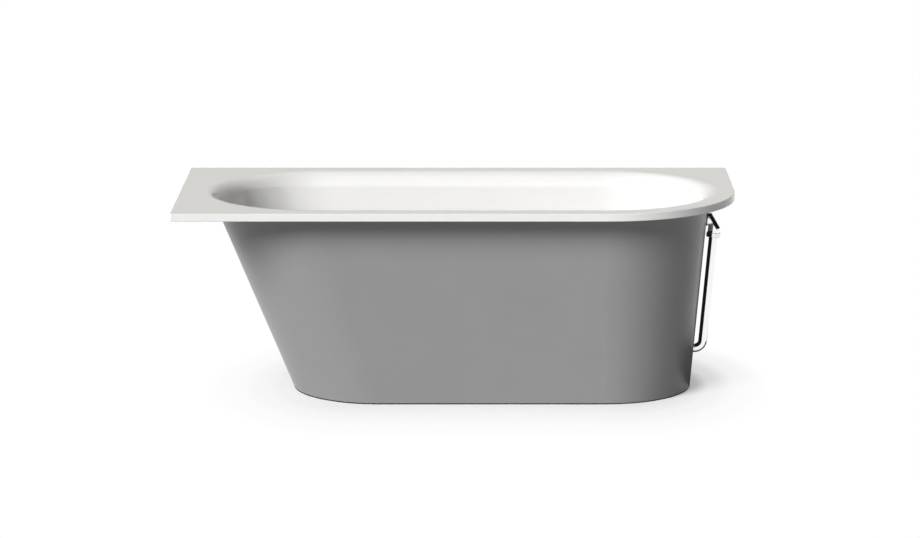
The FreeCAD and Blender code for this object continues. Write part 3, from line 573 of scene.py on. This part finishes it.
def unionNut(s, grip, radius, length):
    bore, lipBore, lipEdge = s["bore"], s["lipBore"], grip["lipEdge"]
    ribs = (grip["ribDepth"], s["ribs"])
    sides = grip["ribSteps"] * s["ribs"]
    top = length - grip["plainShare"] * length
    inner = length - s["lip"]
    rings = [roundRing(bore, 0)] + roundRings(radius, 0, grip["foot"])
    rings += ribbedRings(radius, 0, grip["ribFoot"], ribs) + ribbedRings(radius, top, grip["ribTop"], ribs)
    rings += roundRings(radius, top, grip["shoulder"]) + roundRings(radius, length, grip["front"])
    if lipBore:
        rings += [roundRing(lipBore + lipEdge, length), roundRing(lipBore, length - lipEdge),
                  roundRing(lipBore, inner), roundRing(bore, inner)]
        return loftRings(rings, sides, "joined")
    # a closed cap has a raised rim round a sunk middle, and is hollow behind
    rings += [roundRing(grip["capRim"] * radius, length),
              roundRing(grip["capFloor"] * radius, length - grip["capSunk"])]
    return loftRings([roundRing(bore, inner)] + rings, sides, "lids")


def makeUnions(sets, grip):
    for node, s in sets.items():
        low, high = boxOf(node)
        axis = Vector(s["axis"])
        size = high - low
        length = abs(size.dot(axis))
        radius = (sum(size) - length) / 4
        start = middleOf(low, high) - axis * length / 2
        nut = unionNut(s, grip, radius, length)
        placeShape(nut, start, axis)
        finishPiece("ribbed_" + node, nut, node)


makeUnions(unionSet, gripSet)
print("waste nuts made")


# chrome: overflow elbow with its bevelled mitre, collar and cover, in the overflow's own leaning frame
overflowSet = {
    "place": (765.226, 0, 522), "lean": 5, "pipeOffset": 26.5, "segments": 96,
    "radius": 19, "leg": 46, "socket": 22, "pipe": 13.6, "edge": 0.5,
    "flange": 22, "flangeFrom": 2, "flangeTo": 5, "flangeEdges": (0.4, 0.8), "fillet": 0.6,
    "spigot": 17, "spigotEnd": -34.2, "way": 14, "wayEnd": 8,
    "slant": 35, "slantReach": 2, "slantCuts": 33, "slantSwing": 84, "smoothTo": 9,
    "collar": 22, "collarPlay": 0.05, "collarTop": -40, "collarSeat": -49, "collarEnd": -54,
    "collarEdge": ((0.8, 0), (0, 0.8), (0, 3.5), (0.5, 4), (0.5, 4.6), (0, 5.1)),
    "cover": 24, "coverGap": 18, "pegs": 3, "peg": 2.5, "pegCircle": 19.5, "pegSides": 24,
    "dish": ((3, 0.6), (2, 0), (0.6, 0), (0, 0.6), (0, 1.5), (0.5, 2.1), (1.6, 2.5), (4, 2.75), (4.6, 2.4),
             (5.2, 2.4), (5.8, 2.8), (12, 2.95), (22, 3)),
    "pegFoot": ((0.5, 0), (0, 0.5)), "pegHead": ((0, -0.6), (-0.8, 0.2), (0, 1.2)),
}


def standAtOverflow(bm, s):
    turn = Matrix.Rotation(math.radians(s["lean"]), 3, "Y")
    bmesh.ops.rotate(bm, cent=(0, 0, 0), matrix=turn, verts=bm.verts)
    bmesh.ops.translate(bm, vec=s["place"], verts=bm.verts)


def overflowElbow(s):
    # stub and leg are cut to the same slanting ring, joined there, and the outer corner is cut round
    radius, offset, segments, edge = s["radius"], s["pipeOffset"], s["segments"], s["edge"]
    spigot, spigotEnd, leg, fillet = s["spigot"], s["spigotEnd"], s["leg"], s["fillet"]
    flange, flangeFrom, flangeTo = s["flange"], s["flangeFrom"], s["flangeTo"]
    backEdge, frontEdge = s["flangeEdges"]
    stubRings = [
        roundRing(s["way"], s["wayEnd"]), roundRing(s["way"], spigotEnd), roundRing(spigot - edge, spigotEnd),
        roundRing(spigot, spigotEnd + edge), roundRing(spigot, flangeFrom),
        roundRing(flange - backEdge, flangeFrom), roundRing(flange, flangeFrom + backEdge),
        roundRing(flange, flangeTo - frontEdge), roundRing(flange - frontEdge, flangeTo),
        roundRing(radius + fillet, flangeTo), roundRing(radius, flangeTo + fillet),
        lambda angle: (radius, offset + radius * math.cos(angle)),
    ]
    legRings = [
        roundRing(s["pipe"], s["socket"] - leg), roundRing(s["pipe"], -leg), roundRing(radius - edge, -leg),
        roundRing(radius, edge - leg), lambda angle: (radius, radius * math.cos(angle)),
    ]
    stub = loftRings(stubRings, segments, "open")
    swapAxes = Matrix(((0, 0, 1), (0, 1, 0), (1, 0, 0)))
    bmesh.ops.transform(stub, matrix=swapAxes.to_4x4(), verts=stub.verts)
    elbow = loftRings(legRings, segments, "open")
    bmesh.ops.translate(elbow, vec=(offset, 0, 0), verts=elbow.verts)
    addCopy(elbow, stub, (0, 0, 0))
    stub.free()
    bmesh.ops.remove_doubles(elbow, verts=elbow.verts, dist=weld)
    # the bend of the water way
    bmesh.ops.bridge_loops(elbow, edges=[e for e in elbow.edges if e.is_boundary])
    slant = math.radians(s["slant"])
    outward = Vector((math.cos(slant), 0, math.sin(slant)))
    core = Vector((offset, 0, 0)) + outward * (s["slantReach"] - radius)
    swing = math.radians(s["slantSwing"])
    for step in range(s["slantCuts"]):
        sortMesh(elbow)
        turn = swing * (2 * step / (s["slantCuts"] - 1) - 1)
        normal = outward * math.cos(turn) + Vector((0, math.sin(turn), 0))
        outer = [f for f in elbow.faces if f.calc_center_median().x > flangeTo]
        corners = [item for f in outer for item in (*f.edges, *f.verts)]
        geom = outer + list(dict.fromkeys(corners))
        bmesh.ops.bisect_plane(elbow, geom=geom, dist=touch, plane_co=core + normal * radius, plane_no=normal,
                               clear_outer=True)
        rim = [e for e in elbow.edges if e.is_boundary]
        if rim:
            bmesh.ops.edgeloop_fill(elbow, edges=rim)
    bmesh.ops.remove_doubles(elbow, verts=elbow.verts, dist=weld)
    sortMesh(elbow)
    standAtOverflow(elbow, s)
    finishPiece("mitredElbow", elbow, "overflow_elbow", s["smoothTo"])


def overflowCollar(s):
    inner, seat, edge = s["radius"] + s["collarPlay"], s["collarSeat"], s["collarEdge"]
    topEdge = [(inset, -drop) for inset, drop in edge]
    rings = [roundRing(inner, seat), roundRing(inner, s["collarTop"])]
    rings += roundRings(s["collar"], s["collarTop"], topEdge)
    rings += roundRings(s["collar"], s["collarEnd"], reversed(edge))
    rings += [roundRing(s["pipe"], s["collarEnd"]), roundRing(s["pipe"], seat)]
    collar = loftRings(rings, s["segments"], "joined")
    bmesh.ops.translate(collar, vec=(s["pipeOffset"], 0, 0), verts=collar.verts)
    standAtOverflow(collar, s)
    finishPiece("groovedCollar", collar, "collar_nut")


def overflowCover(s):
    # a dished cap with one groove, on three pegs
    cover = loftRings(roundRings(s["cover"], 0, s["dish"]), s["segments"], "lids")
    gap = s["coverGap"]
    pegRings = roundRings(s["peg"], -gap, s["pegFoot"]) + roundRings(s["peg"], 0, s["pegHead"])
    for step in range(s["pegs"]):
        turn = 2 * math.pi * step / s["pegs"]
        peg = loftRings(pegRings, s["pegSides"], "lids")
        addCopy(cover, peg, (s["pegCircle"] * math.cos(turn), s["pegCircle"] * math.sin(turn), 0))
        peg.free()
    placeShape(cover, (s["spigotEnd"] - gap, 0, 0), (-1, 0, 0))
    standAtOverflow(cover, s)
    finishPiece("dishedCover", cover, "overflow_cover")


overflowElbow(overflowSet)
overflowCollar(overflowSet)
overflowCover(overflowSet)
print("overflow made")


# plug: domed chrome cap with one groove, on its stem
plugSet = {
    "segments": 128, "stem": 5.0, "stemFoot": ((0.8, 0), (0, 0.8)), "stemTop": ((0, -1), (-1, 0)), "capFrom": 26.0,
    "cap": ((0.7, 0), (0, 0.7), (0, 2.0), (0.6, 3.0), (2.0, 3.7), (7.0, 4.2), (7.6, 3.9), (8.4, 3.9), (9.0, 4.3)),
    "crown": 4.55, "tip": 3,
}


def makePlug(s):
    low, high = boxOf("waste_plug")
    middle = middleOf(low, high)
    wide = (high.x - low.x) / 2
    foot, stem = s["capFrom"], s["stem"]
    rings = roundRings(stem, 0, s["stemFoot"]) + roundRings(stem, foot, s["stemTop"])
    rings += roundRings(wide, foot, s["cap"])
    rings += [roundRing(wide / 2, foot + s["crown"]), roundRing(s["tip"], high.z - low.z)]
    plug = loftRings(rings, s["segments"], "lids")
    placeShape(plug, (middle.x, middle.y, low.z))
    finishPiece("domedPlug", plug, "waste_plug")


makePlug(plugSet)
print("plug made")


# sheet metal, board and flange edges are slightly broken
edgeSet = {
    "nodes": ("head_bar", "foot_bar", "wall_bracket_left", "wall_bracket_middle", "wall_bracket_right",
              "skirt_tie_head_front", "skirt_tie_head_back", "skirt_tie_foot_front", "skirt_tie_foot_back",
              "base_board", "waste_flange"),
    "join": 0.00001, "width": 0.0006, "segments": 2, "limit": 50,
}


def breakEdges(s):
    for name in s["nodes"]:
        join = nodes[name].modifiers.new("weld", "WELD")
        join.merge_threshold = s["join"]
        bevel = nodes[name].modifiers.new("brokenEdge", "BEVEL")
        bevel.width = s["width"]
        bevel.segments = s["segments"]
        bevel.limit_method = "ANGLE"
        bevel.angle_limit = math.radians(s["limit"])
        bevel.use_clamp_overlap = True


breakEdges(edgeSet)
print("edges broken:", len(edgeSet["nodes"]))


# floor, backdrop and lights
floorSet = {"size": 60, "bounce": 0.36, "paper": 0.87, "headX": -0.296, "footX": 0.486, "edge": 0.272,
            "sideways": 1.4,
            "white": ((0.0, 0.02), (0.02, 0.20), (0.07, 0.42), (0.15, 0.68), (0.28, 0.89), (0.43, 1.0))}
skySet = {"reach": 0.45, "glow": 0.32, "top": 0.01, "shineFrom": 0.45, "shineTo": 0.8, "shineTop": 0.02}
lampSet = {
    "keyFrontLeft": {"place": (-10.73, -12.79, 11.3), "aim": (0, 0, 0.3), "spread": 30, "power": 4.1},
}
cardSet = {
    "cardPipe": {"middle": (0.7486, 0.0, 0.30), "half": (0.045, 0.185), "turn": 90, "lean": 5, "tone": 0.008},
    "cardBack": {"middle": (0, 1.4, 1.845), "half": (4.0, 1.345), "tone": 0.75, "tint": (0.985, 0.96, 0.895)},
    "cardBackLow": {"middle": (-2.1, 1.38, 0.62), "half": (1.9, 0.12), "tone": 0.02},
    "cardRight": {"middle": (2.4, -0.4, 1.4), "half": (2.0, 0.7), "turn": 90, "tone": 0.008},
    "cardFloorRight": {"middle": (0.88, 0.3, 0.003), "half": (0.24, 0.34), "pitch": 90, "tone": 0.02},
    "cardUnderRim": {"middle": (0.8, 0.0, 0.586), "half": (0.045, 0.06), "pitch": 90, "tone": 0.008},
}


def addLightPathMask(tree):
    # 1 for camera, glossy and transmission rays
    path = addNode(tree, "ShaderNodeLightPath")
    first = addNode(tree, "ShaderNodeMath", operation="MAXIMUM")
    both = addNode(tree, "ShaderNodeMath", operation="MAXIMUM")
    tree.links.new(path.outputs["Is Camera Ray"], first.inputs[0])
    tree.links.new(path.outputs["Is Glossy Ray"], first.inputs[1])
    tree.links.new(first.outputs[0], both.inputs[0])
    tree.links.new(path.outputs["Is Transmission Ray"], both.inputs[1])
    return both.outputs[0]


def addFloor(s):
    bm = bmesh.new()
    bmesh.ops.create_grid(bm, x_segments=2, y_segments=2, size=s["size"] / 2)
    floor = meshObject("studioFloor", bm)
    mat, tree, out = bareMaterial("studioFloor")
    link = tree.links.new
    # the paper looks paler than the light it throws back at the bath
    paper = addNode(tree, "ShaderNodeBsdfDiffuse")
    shade = addNode(tree, "ShaderNodeMix", data_type="RGBA")
    shade.inputs["A"].default_value = (s["bounce"], s["bounce"], s["bounce"], 1)
    shade.inputs["B"].default_value = (s["paper"], s["paper"], s["paper"], 1)
    lookedAt = addLightPathMask(tree)
    link(lookedAt, shade.inputs["Factor"])
    link(shade.outputs["Result"], paper.inputs["Color"])
    white = addNode(tree, "ShaderNodeEmission")
    white.inputs["Color"].default_value = (1, 1, 1, 1)
    # distance from the bath's footprint, a line between its two round ends
    coord = addNode(tree, "ShaderNodeTexCoord")
    split = addNode(tree, "ShaderNodeSeparateXYZ")
    along = addNode(tree, "ShaderNodeClamp")
    along.inputs["Min"].default_value = s["headX"]
    along.inputs["Max"].default_value = s["footX"]
    nearest = addNode(tree, "ShaderNodeCombineXYZ")
    offset = addNode(tree, "ShaderNodeVectorMath", operation="SUBTRACT")
    stretch = addNode(tree, "ShaderNodeVectorMath", operation="MULTIPLY")
    stretch.inputs[1].default_value = (s["sideways"], 1, 1)
    away = addNode(tree, "ShaderNodeVectorMath", operation="LENGTH")
    fade = addNode(tree, "ShaderNodeMapRange")
    fade.inputs["From Min"].default_value = s["edge"]
    fade.inputs["From Max"].default_value = s["edge"] + s["white"][-1][0]
    ramp = addNode(tree, "ShaderNodeValToRGB")
    ramp.color_ramp.interpolation = "EASE"
    while len(ramp.color_ramp.elements) < len(s["white"]):
        ramp.color_ramp.elements.new(0.5)
    for stop, (reach, amount) in zip(ramp.color_ramp.elements, s["white"]):
        stop.position = reach / s["white"][-1][0]
        stop.color = (amount, amount, amount, 1)
    share = addNode(tree, "ShaderNodeMath", operation="MULTIPLY")
    mix = addNode(tree, "ShaderNodeMixShader")
    link(coord.outputs["Object"], split.inputs["Vector"])
    link(split.outputs["X"], along.inputs["Value"])
    link(along.outputs["Result"], nearest.inputs["X"])
    link(coord.outputs["Object"], offset.inputs[0])
    link(nearest.outputs["Vector"], offset.inputs[1])
    link(offset.outputs["Vector"], stretch.inputs[0])
    link(stretch.outputs["Vector"], away.inputs[0])
    link(away.outputs["Value"], fade.inputs["Value"])
    link(fade.outputs["Result"], ramp.inputs["Fac"])
    link(ramp.outputs["Color"], share.inputs[0])
    link(lookedAt, share.inputs[1])
    link(share.outputs[0], mix.inputs["Fac"])
    link(paper.outputs["BSDF"], mix.inputs[1])
    link(white.outputs["Emission"], mix.inputs[2])
    link(mix.outputs["Shader"], out.inputs["Surface"])
    floor.data.materials.append(mat)


# near-black tone of the painted shadow under the skirt's foot
contactSet = {"tone": 0.004, "lift": 0.0001, "band": 0.0001}


def addContactShade(s):
    # painted shadow: a dark sheet in the skirt's own foot outline lies on the floor, under its narrow gap
    bm = bmesh.new()
    bm.from_mesh(nodes["outer_skirt"].data)
    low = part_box("outer_skirt")[0].z
    upper = [f for f in bm.faces if max(v.co.z for v in f.verts) > low + s["band"]]
    bmesh.ops.delete(bm, geom=upper, context="FACES")
    bmesh.ops.translate(bm, vec=(0, 0, s["lift"] - low), verts=bm.verts)
    shade = meshObject("contactShade", bm)
    mat, tree, bsdf = newMaterial("contactShade")
    bsdf.inputs["Base Color"].default_value = (s["tone"], s["tone"], s["tone"], 1)
    bsdf.inputs["Specular IOR Level"].default_value = 0
    shade.data.materials.append(mat)


def addWorld(s):
    # white for the camera; for light a glow along the horizon under a dark ceiling
    world = bpy.data.worlds.new("studioWorld")
    scene.world = world
    world.use_nodes = True
    tree = world.node_tree
    tree.nodes.clear()
    link = tree.links.new
    out = addNode(tree, "ShaderNodeOutputWorld")
    room = addNode(tree, "ShaderNodeBackground")
    room.inputs["Color"].default_value = (1, 1, 1, 1)
    coord = addNode(tree, "ShaderNodeTexCoord")
    split = addNode(tree, "ShaderNodeSeparateXYZ")
    light = addNode(tree, "ShaderNodeMapRange", interpolation_type="SMOOTHSTEP")
    light.inputs["From Min"].default_value = 0
    light.inputs["From Max"].default_value = s["reach"]
    light.inputs["To Min"].default_value = s["glow"]
    light.inputs["To Max"].default_value = s["top"]
    shine = addNode(tree, "ShaderNodeMapRange", interpolation_type="SMOOTHSTEP")
    shine.inputs["From Min"].default_value = s["shineFrom"]
    shine.inputs["From Max"].default_value = s["shineTo"]
    shine.inputs["To Min"].default_value = 1
    shine.inputs["To Max"].default_value = s["shineTop"]
    path = addNode(tree, "ShaderNodeLightPath")
    inMirror = addNode(tree, "ShaderNodeMix", data_type="FLOAT")
    direct = addNode(tree, "ShaderNodeMath", operation="MAXIMUM")
    seen = addNode(tree, "ShaderNodeMix", data_type="FLOAT")
    seen.inputs["B"].default_value = 1
    link(coord.outputs["Generated"], split.inputs["Vector"])
    link(split.outputs["Z"], light.inputs["Value"])
    link(split.outputs["Z"], shine.inputs["Value"])
    link(path.outputs["Is Glossy Ray"], inMirror.inputs["Factor"])
    link(light.outputs["Result"], inMirror.inputs["A"])
    link(shine.outputs["Result"], inMirror.inputs["B"])
    link(path.outputs["Is Camera Ray"], direct.inputs[0])
    link(path.outputs["Is Transmission Ray"], direct.inputs[1])
    link(direct.outputs[0], seen.inputs["Factor"])
    link(inMirror.outputs["Result"], seen.inputs["A"])
    link(seen.outputs["Result"], room.inputs["Strength"])
    link(room.outputs["Background"], out.inputs["Surface"])


def addLamp(name, s):
    data = bpy.data.lights.new(name, "SUN")
    data.angle = math.radians(s["spread"])
    data.energy = s["power"]
    lamp = bpy.data.objects.new(name, data)
    lamp.location = s["place"]
    lamp.rotation_euler = (Vector(s["aim"]) - Vector(s["place"])).to_track_quat("-Z", "Y").to_euler()
    scene.collection.objects.link(lamp)


def addCard(name, s):
    # a board that shows only in reflections
    bm = bmesh.new()
    bmesh.ops.create_grid(bm, x_segments=1, y_segments=1, size=1)
    bmesh.ops.scale(bm, vec=(*s["half"], 1), verts=bm.verts)
    for angle, axis in ((90 - s.get("pitch", 0), "X"), (s.get("turn", 0), "Z"), (s.get("lean", 0), "Y")):
        turn = Matrix.Rotation(math.radians(angle), 3, axis)
        bmesh.ops.rotate(bm, cent=(0, 0, 0), matrix=turn, verts=bm.verts)
    bmesh.ops.translate(bm, vec=s["middle"], verts=bm.verts)
    card = meshObject(name, bm)
    mat, tree, out = bareMaterial(name)
    glow = addNode(tree, "ShaderNodeEmission")
    glow.inputs["Color"].default_value = (*(s["tone"] * share for share in s.get("tint", (1, 1, 1))), 1)
    tree.links.new(glow.outputs["Emission"], out.inputs["Surface"])
    card.data.materials.append(mat)
    card.visible_camera = False
    card.visible_diffuse = False
    card.visible_shadow = False
    card.visible_transmission = False


addFloor(floorSet)
addContactShade(contactSet)
addWorld(skySet)
for lampName, lampValues in lampSet.items():
    addLamp(lampName, lampValues)
for cardName, cardValues in cardSet.items():
    addCard(cardName, cardValues)
print("stage and lamps set")
